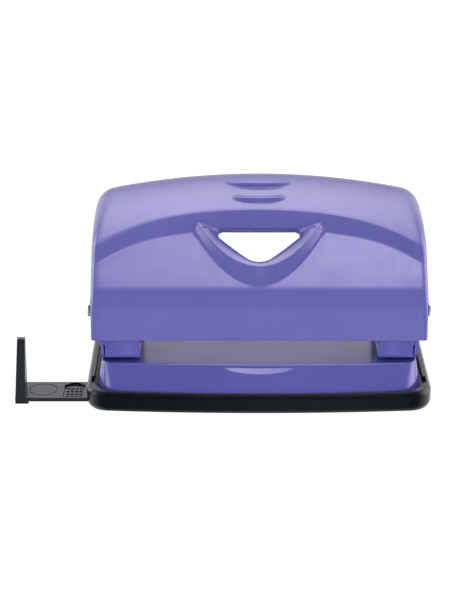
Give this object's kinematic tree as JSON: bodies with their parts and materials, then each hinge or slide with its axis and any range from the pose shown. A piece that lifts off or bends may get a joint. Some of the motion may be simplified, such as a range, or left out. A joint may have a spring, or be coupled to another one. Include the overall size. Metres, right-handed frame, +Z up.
{
  "type": "paper hole punch",
  "caption": "Desk paper punch: purple pressed-steel lever handle with a finger hole, painted base plate, punch heads, black chip tray and sliding paper guide.",
  "frame": {"origin": "centre of the chip tray's flat underside, on the desk", "axes": "+Z up; -Y the side that the paper goes in; +X along the punch, away from the paper guide's stop"},
  "size_m": [0.1231, 0.0904, 0.0602],
  "materials": {
    "handle_paint": "glossy purple enamel on pressed steel",
    "base_paint": "glossy purple enamel on pressed steel",
    "bracket_paint": "glossy purple enamel on bent steel",
    "tray_plastic": "satin black moulded plastic",
    "guide_plastic": "satin black moulded plastic",
    "pressed_steel": "plain ground or zinc-plated steel",
    "chrome_rivet": "bright domed rivet head",
    "spring_wire": "drawn spring wire"
  },
  "bodies": {
    "base": {"base_plate": "base_paint", "punch_bracket_left": "bracket_paint", "punch_bracket_right": "bracket_paint", "bracket_rivet_left_1": "pressed_steel", "bracket_rivet_left_2": "pressed_steel", "bracket_rivet_right_1": "pressed_steel", "bracket_rivet_right_2": "pressed_steel", "axle_rivet_left": "chrome_rivet", "axle_rivet_right": "chrome_rivet", "axle_washer_left": "pressed_steel", "axle_washer_right": "pressed_steel", "return_spring_left": "spring_wire", "return_spring_right": "spring_wire"},
    "handle_lever": {"handle": "handle_paint", "pressure_bar": "pressed_steel"},
    "pin_left": {"punch_pin_left": "pressed_steel", "pin_clip_left": "pressed_steel"},
    "pin_right": {"punch_pin_right": "pressed_steel", "pin_clip_right": "pressed_steel"},
    "tray": {"chip_tray": "tray_plastic"},
    "guide": {"paper_guide": "guide_plastic"}
  },
  "joints": [
    {"name": "handle_pivot", "type": "hinge", "parent": "base", "child": "handle_lever", "pos_m": [0, -0.034, 0.0291], "axis": [-1, 0, 0], "range_deg": [0, 25], "stiffness_Nm_per_rad": 0.6, "springref_deg": -17.19},
    {"name": "pin_left_slide", "type": "slide", "parent": "base", "child": "pin_left", "axis": [0, 0, -1], "range_m": [0, 0.0058], "deforming": ["return_spring_left"]},
    {"name": "pin_right_slide", "type": "slide", "parent": "base", "child": "pin_right", "axis": [0, 0, -1], "range_m": [0, 0.0058], "deforming": ["return_spring_right"]},
    {"name": "tray_hinge", "type": "hinge", "parent": "base", "child": "tray", "pos_m": [0, 0.038, 0.0045], "axis": [1, 0, 0], "range_deg": [0, 30]},
    {"name": "guide_slide", "type": "slide", "parent": "tray", "child": "guide", "axis": [-1, 0, 0], "range_m": [-0.0045, 0.0795]}
  ],
  "couplings": [
    {"joint": "pin_left_slide", "follows": "handle_pivot", "m_per_rad": 0.0124},
    {"joint": "pin_right_slide", "follows": "handle_pivot", "m_per_rad": 0.0124}
  ]
}
